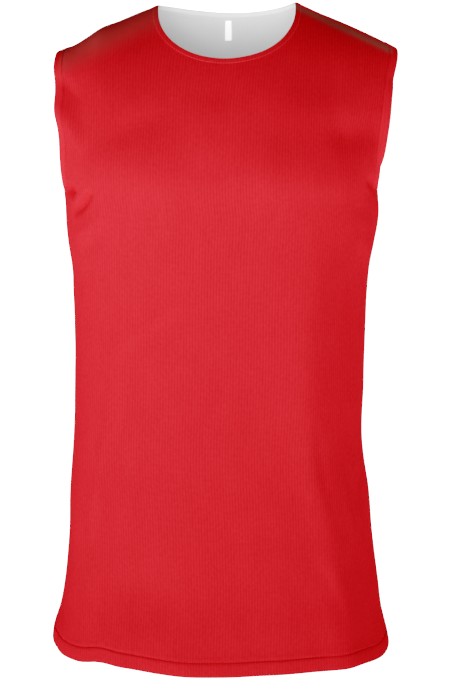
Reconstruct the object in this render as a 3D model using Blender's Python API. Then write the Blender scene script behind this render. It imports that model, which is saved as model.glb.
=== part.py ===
"""A reversible sleeveless basketball jersey, filled out as if it were worn.

Two layers of knit cloth, red outside and white inside. Each layer is a front and a back panel that meet
at the side seams and on top of the shoulders. Neck, armholes and hem are open.

Frame: metres, +Z up, the front faces -Y, +X is the wearer's left. The origin lies midway between the
middles of the two shoulder seams, where a wearer's shoulders carry the jersey.

How the form is worked out: at a height z the cloth follows a ring, a superellipse whose half widths and
depths stand in SECTIONS. Towards the shoulders the ring's depth shrinks to nothing under the shoulder
line, as a round arch. Each panel is a grid of points on that form, from hem to shoulder and neck. The
folds of FOLDS move the points along the form's normal, and each layer is a wall between two such grids.
"""

from collections import namedtuple

import bmesh
import bpy
import numpy as np

# ---- cloth -------------------------------------------------------------------------------------------
CLOTH = 0.0010            # thickness of one layer
LAYER_GAP = 0.0003        # between the red layer and the white one
SEAM_GAP = 0.0003         # between the front and the back panel at a seam
Cloth = namedtuple("Cloth", "colour roughness")
RED_CLOTH = Cloth(colour=(0.62, 0.018, 0.030, 1.0), roughness=0.62)
WHITE_CLOTH = Cloth(colour=(0.80, 0.80, 0.79, 1.0), roughness=0.70)
LABEL_CLOTH = Cloth(colour=(0.88, 0.87, 0.85, 1.0), roughness=0.50)

# ---- levels and openings -----------------------------------------------------------------------------
HEM_Z = -0.731            # at the sides
HEM_DIP = 0.0065          # the hem hangs this much lower at the middle of the front and the back
HEM_SWAY = 0.0030         # and it sways: lower towards +X, higher towards -X
HEM_DIP_TOP = -0.500      # above this height the rows are level
UNDERARM_Z = -0.187
NECK_HALF = 0.0780        # from the centre to a high point of the neck
FRONT_NECK_DROP = 0.0565  # from the high points down to the lowest point of the front neck
FRONT_NECK_POWER = 0.88   # below 1 the neck's curve is squarer than an ellipse, above 1 more pointed
BACK_NECK_DROP = 0.0125
BACK_NECK_POWER = 1.8
BACK_NECK_SWAY = 0.35     # the lowest point of the back neck lies towards +X
ARMHOLE_DEPTH = 0.55      # how far an armhole reaches forward and back, as a share of the body's depth
ARMHOLE_ROUND = 0.080     # height over which the bottom of the armhole opens out
TIP_CORNER = 0.005        # the rounded corner where shoulder and armhole meet
CORNER_COLUMN_POWER = 9   # only the columns next to the armhole bend for it
CORNER_ROW_POWER = 30     # and only the topmost rows turn back

# ---- form --------------------------------------------------------------------------------------------
RING_POWER = 2.3          # 2 is an ellipse, more is squarer
SHOULDER_ROUND = 0.170    # height below the shoulder line over which the cloth reaches its full depth
RIDGE_SHARP = 0.35        # the ridge over the shoulder is this much sharper beside the neck
RIDGE_BLUNT_X = 0.150     # and round from here out
WIDEN_FROM = -0.300       # the body widens towards the shoulders from this height
WIDEN_TO = -0.070         # up to this one
CALM_SPAN = 0.040         # bends of the outline shorter than this stay near the sides
EDGE_POWER = 6            # how closely they stay there

# A ring of the body. left and right are the distances from the centre plane to the cloth's widest
# points, front and back its depths. seam is how many degrees forward the seam lies on the -X side.
Section = namedtuple("Section", "z left right front back seam")
SECTIONS = (
    Section(z=-0.745, left=0.2108, right=0.1958, front=0.126, back=0.122, seam=20),
    Section(z=-0.731, left=0.2102, right=0.1943, front=0.126, back=0.121, seam=19),
    Section(z=-0.716, left=0.2084, right=0.1915, front=0.125, back=0.120, seam=18),
    Section(z=-0.686, left=0.2000, right=0.1846, front=0.123, back=0.117, seam=15),
    Section(z=-0.655, left=0.1947, right=0.1804, front=0.120, back=0.113, seam=11),
    Section(z=-0.596, left=0.1886, right=0.1725, front=0.117, back=0.107, seam=4),
    Section(z=-0.537, left=0.1864, right=0.1669, front=0.115, back=0.102, seam=0),
    Section(z=-0.507, left=0.1839, right=0.1619, front=0.114, back=0.100, seam=0),
    Section(z=-0.490, left=0.1825, right=0.1598, front=0.114, back=0.099, seam=0),
    Section(z=-0.420, left=0.1796, right=0.1601, front=0.114, back=0.098, seam=0),
    Section(z=-0.362, left=0.1786, right=0.1611, front=0.116, back=0.100, seam=0),
    Section(z=-0.305, left=0.1797, right=0.1628, front=0.119, back=0.105, seam=0),
    Section(z=-0.276, left=0.1807, right=0.1650, front=0.121, back=0.108, seam=0),
    Section(z=-0.248, left=0.1848, right=0.1701, front=0.123, back=0.111, seam=0),
    Section(z=-0.208, left=0.1872, right=0.1752, front=0.125, back=0.115, seam=0),
    Section(z=-0.187, left=0.1879, right=0.1728, front=0.125, back=0.117, seam=0),
    Section(z=-0.162, left=0.1890, right=0.1727, front=0.124, back=0.118, seam=0),
    Section(z=-0.120, left=0.1898, right=0.1764, front=0.120, back=0.116, seam=0),
    Section(z=-0.080, left=0.1926, right=0.1814, front=0.115, back=0.110, seam=0),
    Section(z=-0.060, left=0.1942, right=0.1868, front=0.112, back=0.106, seam=0),
    Section(z=-0.034, left=0.1954, right=0.1934, front=0.107, back=0.102, seam=0),
    Section(z=+0.000, left=0.1956, right=0.1940, front=0.101, back=0.098, seam=0),
    Section(z=+0.045, left=0.1956, right=0.1940, front=0.097, back=0.095, seam=0),
)

# The line over the shoulders, from tip to tip. Between the high points it carries on over the open neck.
ShoulderPoint = namedtuple("ShoulderPoint", "x z")
SHOULDER_LINE = (
    ShoulderPoint(x=-0.1956, z=-0.0308),
    ShoulderPoint(x=-0.1870, z=-0.0276),
    ShoulderPoint(x=-0.1732, z=-0.0219),
    ShoulderPoint(x=-0.1594, z=-0.0133),
    ShoulderPoint(x=-0.1456, z=-0.0042),
    ShoulderPoint(x=-0.1227, z=+0.0046),
    ShoulderPoint(x=-0.0998, z=+0.0142),
    ShoulderPoint(x=-0.0780, z=+0.0224),
    ShoulderPoint(x=+0.0000, z=+0.0400),
    ShoulderPoint(x=+0.0780, z=+0.0255),
    ShoulderPoint(x=+0.1054, z=+0.0133),
    ShoulderPoint(x=+0.1283, z=+0.0040),
    ShoulderPoint(x=+0.1513, z=-0.0060),
    ShoulderPoint(x=+0.1743, z=-0.0168),
    ShoulderPoint(x=+0.1940, z=-0.0268),
)

# ---- folds -------------------------------------------------------------------------------------------
# A soft fold runs from (x0, z0) to (x1, z1), where x is measured along the cloth from the middle of its
# panel. width is half its breadth, rise its height: a trough where it is negative.
Fold = namedtuple("Fold", "panel x0 z0 x1 z1 width rise")
FOLDS = (
    Fold("front", x0=+0.088, z0=-0.340, x1=+0.098, z1=HEM_Z, width=0.020, rise=+0.0035),
    Fold("front", x0=+0.135, z0=-0.370, x1=+0.142, z1=-0.720, width=0.026, rise=-0.0050),
    Fold("front", x0=+0.168, z0=-0.450, x1=+0.182, z1=-0.640, width=0.020, rise=+0.0030),
    Fold("front", x0=-0.122, z0=-0.420, x1=-0.140, z1=-0.720, width=0.022, rise=-0.0035),
    Fold("front", x0=-0.152, z0=-0.400, x1=-0.178, z1=-0.660, width=0.020, rise=+0.0035),
    Fold("front", x0=-0.020, z0=-0.560, x1=-0.035, z1=HEM_Z, width=0.030, rise=+0.0020),
    Fold("front", x0=-0.198, z0=-0.052, x1=-0.135, z1=-0.125, width=0.018, rise=-0.0040),
    Fold("front", x0=-0.205, z0=-0.085, x1=-0.160, z1=-0.150, width=0.018, rise=+0.0030),
    Fold("front", x0=-0.235, z0=-0.205, x1=-0.175, z1=-0.255, width=0.014, rise=-0.0025),
    Fold("front", x0=+0.225, z0=-0.190, x1=+0.165, z1=-0.240, width=0.016, rise=-0.0030),
    Fold("back", x0=-0.092, z0=-0.330, x1=-0.105, z1=HEM_Z, width=0.022, rise=+0.0040),
    Fold("back", x0=-0.140, z0=-0.360, x1=-0.150, z1=-0.700, width=0.024, rise=-0.0045),
    Fold("back", x0=+0.105, z0=-0.380, x1=+0.124, z1=HEM_Z, width=0.022, rise=+0.0035),
    Fold("back", x0=+0.150, z0=-0.400, x1=+0.165, z1=-0.690, width=0.022, rise=-0.0040),
    Fold("back", x0=+0.012, z0=-0.500, x1=+0.022, z1=HEM_Z, width=0.030, rise=-0.0025),
    Fold("back", x0=-0.215, z0=-0.185, x1=-0.140, z1=-0.245, width=0.018, rise=-0.0030),
    Fold("back", x0=+0.220, z0=-0.180, x1=+0.150, z1=-0.250, width=0.018, rise=-0.0030),
    Fold("back", x0=+0.195, z0=-0.060, x1=+0.130, z1=-0.140, width=0.020, rise=-0.0030),
)
SEAM_CALM = 0.030         # folds die out over this distance from a seam

# ---- sewn edges, raised in the outer points of the red panels -----------------------------------------
HEM_FOLD = 0.0175         # height of the folded hem
EDGE_RAISE = 0.0004       # turned cloth is thicker
STITCH_SINK = 0.0003      # the row of stitches pulls the cloth in
STITCH_HALF = 0.0015      # half the breadth of that groove
LINING_SHORTER = 0.003    # the white layer ends this far above the hem

# ---- label -------------------------------------------------------------------------------------------
LABEL_HALF = 0.0040
LABEL_THICK = 0.0010
LABEL_TOP_ROW = 1.4       # rows of the panel's grid down from the neck's edge
LABEL_END_ROW = 3.2

# ---- the panels' grid --------------------------------------------------------------------------------
NECK_COLUMN = 0.5         # the column that ends at a high point, counted from the middle
NECK_COLUMNS = 16
NECK_CROWDING = 1.6       # draws the neck's columns towards the high points, where its edge bends most
SHOULDER_COLUMNS = 4
EDGE_COLUMNS = (0.910, 0.955, 1.0)
BODY_ROWS = 15
UNDERARM_ROWS = (0.02, 0.07, 0.15)
YOKE_ROWS = 7
EDGE_ROWS = (0.925, 0.955, 1.0)
PLACING_PASSES = 4
SLOPE_STEP = 1e-5         # step for the slope of the form
SHARP_DEGREES = 40        # faces that meet at more than this are shaded with an edge


def table(rows, column):
    """One named column of a table, as an array."""
    return np.array([getattr(row, column) for row in rows])


def smooth(at, knots, values):
    """The values read at any place between the knots, on cubic pieces that join without a kink."""
    slopes = np.gradient(values, knots)
    i = np.clip(np.searchsorted(knots, at) - 1, 0, len(knots) - 2)
    span = knots[i + 1] - knots[i]
    t = (at - knots[i]) / span
    first = (1 + 2 * t) * (1 - t) ** 2 * values[i] + t * (1 - t) ** 2 * span * slopes[i]
    second = t * t * (3 - 2 * t) * values[i + 1] - t * t * (1 - t) * span * slopes[i + 1]
    return first + second


def section(z, column):
    """A size of the body at the height z."""
    return smooth(z, table(SECTIONS, "z"), table(SECTIONS, column))


def shoulder_height(x):
    """Height of the shoulder line over the place x."""
    return smooth(x, table(SHOULDER_LINE, "x"), table(SHOULDER_LINE, "z"))


def centre(z):
    return (section(z, "right") - section(z, "left")) / 2


def edge_half(z):
    """From the centre to the cloth's edge: the side of the body, or higher up the armhole."""
    return (section(z, "right") + section(z, "left")) / 2


def calm(z, column):
    """A size of the body averaged over a stretch of its height, without the outline's short bends."""
    lowest, highest = SECTIONS[0].z, SECTIONS[-1].z
    steps = np.linspace(-CALM_SPAN, CALM_SPAN, 5)
    return sum(section(np.clip(z + step, lowest, highest), column) for step in steps) / len(steps)


def edge_depth(z):
    """Depth of the armhole's edge, as a share of the body's depth: none below the underarm."""
    opened = np.clip((z - UNDERARM_Z) / ARMHOLE_ROUND, 0, 1)
    return ARMHOLE_DEPTH * np.sqrt(1 - (1 - opened) ** 2)


def widening(edge):
    """The whole ring's half width over the cloth's, where armholes of this depth cut off its sides."""
    return (1 - edge ** RING_POWER) ** (-1 / RING_POWER)


def arch(x, z):
    """Share of the full depth that the cloth has at (x, z), to the power of the ring."""
    below = np.minimum((shoulder_height(x) - z) / SHOULDER_ROUND, 1)
    return 1 - (1 - below) ** RING_POWER


def ridge_power(x):
    """1 where the shoulder is round, more where its ridge is sharper."""
    out = np.clip((np.abs(x) - NECK_HALF) / (RIDGE_BLUNT_X - NECK_HALF), 0, 1)
    return 1 + RIDGE_SHARP * (1 - out * out * (3 - 2 * out))


def across_ring(x, z):
    """The place x as a share of the whole ring's half width.

    At the cloth's edge this follows the outline, and the armhole as it opens. Towards the middle it
    follows a calm ring that widens slowly, or a crease would run across the body at the underarm.
    """
    share = np.abs(x - centre(z)) / edge_half(z)
    left, right = calm(z, "left"), calm(z, "right")
    t = np.clip((z - WIDEN_FROM) / (WIDEN_TO - WIDEN_FROM), 0, 1)
    wider = 1 + (widening(ARMHOLE_DEPTH) - 1) * t * t * (3 - 2 * t)
    inner = np.abs(x - (right - left) / 2) / ((right + left) / 2 * wider)
    return inner + (share / widening(edge_depth(z)) - inner) * np.minimum(share, 1) ** EDGE_POWER


def depth(side, x, z):
    """y of the form at (x, z) on the front (side -1) or the back (side +1)."""
    reach = np.where(side < 0, section(z, "front"), section(z, "back"))
    share = np.maximum(arch(x, z), 0) ** ridge_power(x) * np.maximum(1 - across_ring(x, z) ** RING_POWER, 0)
    return side * reach * share ** (1 / RING_POWER)


def form(x, y, z):
    """Zero on the form, positive outside it."""
    reach = np.where(y < 0, section(z, "front"), section(z, "back"))
    inside = 1 - across_ring(x, z) ** RING_POWER
    power = ridge_power(x)
    inside = np.sign(inside) * np.abs(inside) ** (1 / power)
    return (np.abs(y) / reach) ** (RING_POWER / power) - arch(x, z) * inside


def outward(points):
    """Unit normals of the form, from its slope in x, y and z."""
    slope = np.empty_like(points)
    for axis in range(3):
        ahead, behind = points.copy(), points.copy()
        ahead[..., axis] += SLOPE_STEP
        behind[..., axis] -= SLOPE_STEP
        slope[..., axis] = form(*np.moveaxis(ahead, -1, 0)) - form(*np.moveaxis(behind, -1, 0))
    return slope / np.linalg.norm(slope, axis=-1, keepdims=True)


def columns():
    """Column places from -1 at one edge to +1 at the other, closer together at the edges."""
    neck = np.linspace(0, NECK_COLUMN, NECK_COLUMNS // 2 + 1)
    shoulder = np.linspace(NECK_COLUMN, EDGE_COLUMNS[0], SHOULDER_COLUMNS + 1)[1:]
    half = np.concatenate([neck, shoulder, EDGE_COLUMNS[1:]])
    return np.concatenate([-half[:0:-1], half])


def body_heights():
    """Heights of the rows from hem to underarm, with three rows where the hem is stitched."""
    hem = HEM_Z + HEM_FOLD
    stitched = [HEM_Z, hem - STITCH_HALF, hem, hem + STITCH_HALF]
    plain = np.linspace(hem + STITCH_HALF, UNDERARM_Z, BODY_ROWS + 1)[1:]
    return np.concatenate([stitched, plain])


def ring_share(side, s, z):
    """x as a share of the ring's half width, for column s at height z, and y as a share of its depth.

    The columns share out the angle between the two edges of the panel. The edge of a panel is the side
    seam, 90 degrees from its middle but for the seam's swing forward. Higher up it is the armhole, which
    crowds the columns next to it and leaves the middle ones in line.
    """
    edge = edge_depth(z)
    cut_off = np.pi / 2 - np.arctan2((1 - edge ** RING_POWER) ** (1 / RING_POWER), edge)
    swing = np.radians(section(z, "seam")) * side * (s < 0)
    angle = s * (np.pi / 2 + np.where(edge > 0, 0, swing)) - s * np.abs(s) * cut_off
    scale = (np.abs(np.sin(angle)) ** RING_POWER + np.abs(np.cos(angle)) ** RING_POWER)
    return np.sin(angle) * scale ** (-1 / RING_POWER), np.cos(angle) * scale ** (-1 / RING_POWER)


def body_grid(side, s):
    """Points of the panel's rows from hem to underarm."""
    level = body_heights()[:, None]
    low = np.clip((HEM_DIP_TOP - level) / (HEM_DIP_TOP - HEM_Z), 0, 1)
    droop = HEM_DIP * np.cos(s * np.pi / 2) ** 2 + HEM_SWAY * np.sin(s * np.pi)
    z = level - low ** 2 * droop[None, :]
    across, deep = ring_share(side, s[None, :], z)
    x = centre(z) + edge_half(z) * across
    return np.stack([x, depth(np.where(deep < 0, -side, side), x, z), z], axis=-1)


def top_edge(side, s):
    """x and z of the panel's top edge: shoulder seams outside the high points, the neck between them."""
    from_point = 1 - np.minimum(np.abs(s) / NECK_COLUMN, 1)
    turn = np.sign(s) * (1 - from_point ** NECK_CROWDING) * np.pi / 2
    out = np.clip((np.abs(s) - NECK_COLUMN) / (1 - NECK_COLUMN), 0, 1)
    tip = edge_half(0.0) - TIP_CORNER
    x = NECK_HALF * np.sin(turn) + np.sign(s) * out * (tip - NECK_HALF)
    high = np.interp(x, [-NECK_HALF, NECK_HALF], shoulder_height(np.array([-NECK_HALF, NECK_HALF])))
    lowest, power = (FRONT_NECK_DROP, FRONT_NECK_POWER) if side < 0 else (BACK_NECK_DROP, BACK_NECK_POWER)
    drop = lowest * np.maximum(np.cos(turn), 0) ** power
    drop *= 1 + (0 if side < 0 else BACK_NECK_SWAY) * np.sin(turn)
    z = np.where(np.abs(s) < NECK_COLUMN, high - drop, shoulder_height(x + centre(0.0)))
    return x, z


def yoke_grid(side, s):
    """Points of the rows above the underarm, up to shoulder and neck.

    A row's place w runs from 0 at the underarm to 1 at the top edge. Heights are shared out as the angle
    of the arch over the shoulder, so that the rows stay evenly apart where the cloth turns level.
    """
    plain = np.linspace(UNDERARM_ROWS[-1], EDGE_ROWS[0], YOKE_ROWS + 1)
    w = np.concatenate([UNDERARM_ROWS[:-1], plain, EDGE_ROWS[1:]])[:, None]
    top_x, top_z = top_edge(side, s)
    crest = shoulder_height(top_x + centre(0.0))
    top_turn = np.arccos(np.clip(1 - (crest - top_z) / (crest - UNDERARM_Z), -1, 1))
    turn = np.pi / 2 + (top_turn - np.pi / 2) * w
    corner = TIP_CORNER / edge_half(0.0) * s ** CORNER_COLUMN_POWER * (1 - w ** CORNER_ROW_POWER)
    high = top_x / edge_half(0.0) + corner
    for _ in range(PLACING_PASSES):  # height and place across depend on each other, and settle quickly
        z = crest - (crest - UNDERARM_Z) * (1 - np.cos(turn))
        across, _ = ring_share(side, s[None, :], np.maximum(z, UNDERARM_Z + 1e-9))
        low = across * widening(edge_depth(z))
        x = centre(z) + edge_half(z) * (low + (high - low) * w ** 2)
        crest = shoulder_height(x)
    y = depth(side, x, z)
    seam = np.abs(s) >= NECK_COLUMN
    z[-1, seam] = crest[-1, seam]
    y[-1, seam] = 0
    return np.stack([x, y, z], axis=-1)


def row_lengths(points):
    """Distance along each row of the grid from its middle column, negative towards -X."""
    steps = np.linalg.norm(np.diff(points, axis=1), axis=-1)
    along = np.concatenate([np.zeros((len(points), 1)), np.cumsum(steps, axis=1)], axis=1)
    return along - along[:, along.shape[1] // 2][:, None]


def fold_rise(panel, points):
    """How far the folds move each point of a panel outwards."""
    along = row_lengths(points)
    z = points[..., 2]
    rise = np.zeros_like(z)
    for fold in (f for f in FOLDS if f.panel == panel):
        run, fall = fold.x1 - fold.x0, fold.z1 - fold.z0
        length = np.hypot(run, fall)
        t = ((along - fold.x0) * run + (z - fold.z0) * fall) / length ** 2
        off = ((along - fold.x0) * fall - (z - fold.z0) * run) / length
        turns = 1.0 if fold.z1 > HEM_Z else 0.5  # a fold that reaches the hem is deepest there
        fade = np.sin(np.pi * turns * np.clip(t, 0, 1))
        rise += fold.rise * fade * np.exp(-(off / fold.width) ** 2)
    to_edge = np.minimum(along - along[:, :1], along[:, -1:] - along)
    above = np.maximum(z - UNDERARM_Z, 0)
    calm = np.clip(to_edge / SEAM_CALM + above / ARMHOLE_ROUND, 0, 1)
    return rise * calm ** 2 * (3 - 2 * calm)


def panel_grid(panel):
    """Points and normals of a panel, row by row from hem to neck, parted from its neighbour at seams."""
    side = -1 if panel == "front" else 1
    s = columns()
    points = np.concatenate([body_grid(side, s), yoke_grid(side, s)])
    normals = outward(points)
    points += normals * fold_rise(panel, points)[..., None]
    body = len(body_heights())
    for column, inner in ((0, 1), (-1, -2)):
        along = np.gradient(points[:body, column], axis=0)
        part_at_seam(points[:body, column], normals[:body, column], along, points[:body, inner])
    shoulder = np.abs(s) >= NECK_COLUMN
    for half in (s < 0, s > 0):
        seam = np.flatnonzero(shoulder & half)
        along = np.gradient(points[-1, seam], axis=0)
        points[-1, seam] = part_at_seam(points[-1, seam], normals[-1, seam], along, points[-2, seam])
    return points, normals


def part_at_seam(points, normals, along, inner):
    """Moves a seam's points half the seam gap towards the panel, square to the seam and to the normal."""
    away = np.cross(normals, along)
    away /= np.linalg.norm(away, axis=-1, keepdims=True)
    away *= np.sign(np.sum(away * (inner - points), axis=-1, keepdims=True))
    points += away * SEAM_GAP / 2
    return points


def sewn_relief(shape):
    """Rise of the outer points: turned edges at neck, armholes and hem, each with its row of stitches."""
    rise = np.zeros(shape)
    body = len(body_heights())
    s = np.abs(columns())
    neck = s <= NECK_COLUMN
    rise[:2] = EDGE_RAISE
    rise[2] = -STITCH_SINK
    rise[-1, neck] = EDGE_RAISE
    rise[-2, neck] = -STITCH_SINK
    for edge, stitch in ((0, 1), (-1, -2)):
        rise[body:, edge] = EDGE_RAISE
        rise[body:, stitch] = -STITCH_SINK
    return rise


def wall(name, outer, inner, cloth):
    """A closed wall between two grids of points, split into triangles the same way on both faces."""
    rows, cols = outer.shape[:2]
    mesh = bmesh.new()
    faces = []
    for grid in (outer, inner):
        faces.append([[mesh.verts.new(point) for point in row] for row in grid])
    for skin, flip in ((faces[0], False), (faces[1], True)):
        for i in range(rows - 1):
            for j in range(cols - 1):
                a, b, c, d = skin[i][j], skin[i][j + 1], skin[i + 1][j + 1], skin[i + 1][j]
                for corners in ((a, b, c), (a, c, d)):
                    mesh.faces.new(corners[::-1] if flip else corners)
    border = [(0, j) for j in range(cols)] + [(i, cols - 1) for i in range(1, rows)]
    border += [(rows - 1, j) for j in range(cols - 2, -1, -1)] + [(i, 0) for i in range(rows - 2, 0, -1)]
    for (i, j), (k, l) in zip(border, border[1:] + border[:1]):
        a, b, c, d = faces[0][i][j], faces[0][k][l], faces[1][k][l], faces[1][i][j]
        mesh.faces.new((b, a, d))
        mesh.faces.new((b, d, c))
    bmesh.ops.recalc_face_normals(mesh, faces=mesh.faces)
    data = bpy.data.meshes.new(name)
    mesh.to_mesh(data)
    mesh.free()
    data.shade_smooth()
    data.set_sharp_from_angle(angle=np.radians(SHARP_DEGREES))
    data.materials.append(cloth_material(name, cloth))
    thing = bpy.data.objects.new(name, data)
    bpy.context.scene.collection.objects.link(thing)


def cloth_material(name, cloth):
    material = bpy.data.materials.new(name)
    material.use_nodes = True
    shader = material.node_tree.nodes["Principled BSDF"]
    shader.inputs["Base Color"].default_value = cloth.colour
    shader.inputs["Roughness"].default_value = cloth.roughness
    shader.inputs["Metallic"].default_value = 0.0
    return material


def make_panel(panel):
    """The red panel, and the white one inside it on the same grid."""
    points, normals = panel_grid(panel)
    relief = sewn_relief(points.shape[:2])[..., None]
    wall(f"{panel}_outer", points + normals * relief, points - normals * CLOTH, RED_CLOTH)
    white = CLOTH + LAYER_GAP
    lining = points.copy()
    first = body_heights()[:2]
    lining[0] += (lining[1] - lining[0]) * LINING_SHORTER / (first[1] - first[0])
    inside = lining - normals * (white + CLOTH)
    wall(f"{panel}_lining", lining - normals * white, inside, WHITE_CLOTH)
    return inside, normals


def make_label(inside, normals):
    """A blank tab on the white back panel, between its grid's columns next to the middle."""
    middle = inside.shape[1] // 2
    rows = len(inside) - 1 - np.array([LABEL_END_ROW, 3, 2, LABEL_TOP_ROW])
    low = np.floor(rows).astype(int)
    t = (rows - low)[:, None]
    back = []
    for step in (-1, 0, 1):
        near = inside[low, middle] * (1 - t) + inside[low + 1, middle] * t
        far = inside[low, middle + step] * (1 - t) + inside[low + 1, middle + step] * t
        share = LABEL_HALF / np.maximum(np.linalg.norm(far - near, axis=-1, keepdims=True), LABEL_HALF)
        back.append(near + (far - near) * share)
    back = np.stack(back, axis=1)
    out = (normals[low, middle] * (1 - t) + normals[low + 1, middle] * t)[:, None]
    wall("label", back - out * LAYER_GAP, back - out * (LAYER_GAP + LABEL_THICK), LABEL_CLOTH)


def main():
    for thing in list(bpy.data.objects):
        bpy.data.objects.remove(thing)
    make_panel("front")
    make_label(*make_panel("back"))


main()
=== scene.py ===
# %% [markdown]
# # A reversible basketball jersey
#
# The jersey has a red layer outside and a white layer inside, and it stands as if it were worn. This
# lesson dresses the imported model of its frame: four cloth panels, their sewn edges, the stitches, the
# label, the finishes, and then the studio around them.

# %% Load the frame
from collections import namedtuple

import bpy
import numpy as np
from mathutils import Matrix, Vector


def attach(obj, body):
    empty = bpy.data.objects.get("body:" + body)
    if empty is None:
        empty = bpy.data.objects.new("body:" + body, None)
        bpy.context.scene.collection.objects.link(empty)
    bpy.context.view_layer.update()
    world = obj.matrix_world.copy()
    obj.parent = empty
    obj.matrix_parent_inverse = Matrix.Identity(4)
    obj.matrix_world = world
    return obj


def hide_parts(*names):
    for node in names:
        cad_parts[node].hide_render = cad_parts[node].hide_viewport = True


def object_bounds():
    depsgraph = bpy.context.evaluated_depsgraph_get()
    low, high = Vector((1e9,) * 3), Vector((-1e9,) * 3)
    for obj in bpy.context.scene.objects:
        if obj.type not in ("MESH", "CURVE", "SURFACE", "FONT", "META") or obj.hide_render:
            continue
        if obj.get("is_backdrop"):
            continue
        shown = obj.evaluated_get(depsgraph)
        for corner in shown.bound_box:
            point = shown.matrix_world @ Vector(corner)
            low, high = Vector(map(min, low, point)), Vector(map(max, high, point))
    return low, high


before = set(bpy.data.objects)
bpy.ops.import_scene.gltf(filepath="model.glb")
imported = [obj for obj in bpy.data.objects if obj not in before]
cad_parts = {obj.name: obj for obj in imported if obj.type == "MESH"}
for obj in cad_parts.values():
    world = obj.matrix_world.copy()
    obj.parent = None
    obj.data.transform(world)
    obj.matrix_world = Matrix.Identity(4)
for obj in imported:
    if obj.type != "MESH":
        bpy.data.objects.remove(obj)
cad_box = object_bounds()
print("nodes:", sorted(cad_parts))

# %% [markdown]
# ## Camera
#
# The camera looks at the jersey from the front and a little from above, through a long lens. Lens and
# sensor are given by the sensor's height, because the picture is upright.

# %% Set the camera
PICTURE_HEIGHT = 678      # pixels
FOCAL_PIXELS = 2126
SENSOR_MM = 36.0
CAMERA_PLACE = (-0.00174, -2.45, 0.1165)
CAMERA_TILT = 11.13       # degrees below level

lens = bpy.data.cameras.new("camera")
lens.sensor_fit = "VERTICAL"
lens.sensor_height = SENSOR_MM
lens.lens = SENSOR_MM * FOCAL_PIXELS / PICTURE_HEIGHT
camera = bpy.data.objects.new("camera", lens)
camera.location = CAMERA_PLACE
camera.rotation_euler = (np.radians(90 - CAMERA_TILT), 0, 0)
bpy.context.scene.collection.objects.link(camera)
bpy.context.scene.camera = camera
print("lens mm:", round(lens.lens, 2))

# %% [markdown]
# ## The form of the cloth
#
# Filled-out cloth follows a ring round the body at each height. A superellipse is a good ring: with a
# power of 2 it is an ellipse, and a little more makes it squarer, like a chest. Its half widths and
# depths stand in a table by height, and smooth curves join the rows. Towards the shoulders the ring's
# depth shrinks to nothing under the shoulder line, as a round arch does.

# %% The sizes of the body, in metres
HEM_Z = -0.731            # at the sides
HEM_DIP = 0.0065          # the hem hangs this much lower at the middle of the front and the back
HEM_SWAY = 0.0030         # and it sways: lower towards +X, higher towards -X
HEM_DIP_TOP = -0.500      # above this height the rows are level

# x, and how far the hem is drawn up there, or hangs down where it is negative.
HEM_BENDS = np.array([
    (-0.212, +0.0030), (-0.205, +0.0010), (-0.196, -0.0030), (-0.180, -0.0040), (-0.168, -0.0026),
    (-0.150, +0.0022), (-0.120, +0.0022), (-0.080, +0.0004), (+0.000, -0.0002), (+0.050, +0.0015),
    (+0.090, +0.0022), (+0.135, +0.0008), (+0.157, -0.0004), (+0.170, -0.0026), (+0.183, -0.0044),
    (+0.192, -0.0030), (+0.198, +0.0000),
])
UNDERARM_Z = -0.187
NECK_HALF = 0.0780        # from the centre to a high point of the neck
FRONT_NECK = (0.0565, 0.88, 0.0)   # drop of the neck's edge, power of its curve, sway towards +X
BACK_NECK = (0.0125, 1.8, 0.35)
ARMHOLE_DEPTH = 0.55      # how far an armhole reaches forward and back, as a share of the body's depth
ARMHOLE_ROUND = 0.080     # height over which the bottom of the armhole opens out
TIP_CORNER = 0.005        # the rounded corner where shoulder and armhole meet
CORNER_POWERS = (9, 30)   # only the columns next to the armhole and the topmost rows bend for it
RING_POWER = 2.3          # 2 is an ellipse, more is squarer
SHOULDER_ROUND = 0.170    # height below the shoulder line over which the cloth reaches its full depth
RIDGE_SHARP = 0.35        # the ridge over the shoulder is this much sharper beside the neck
RIDGE_BLUNT_X = 0.150     # and round from here out
WIDEN = (-0.300, -0.070)  # the body widens towards the shoulders between these heights
CALM_SPAN = 0.040         # bends of the outline shorter than this stay near the sides
EDGE_POWER = 6            # how closely they stay there

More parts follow.
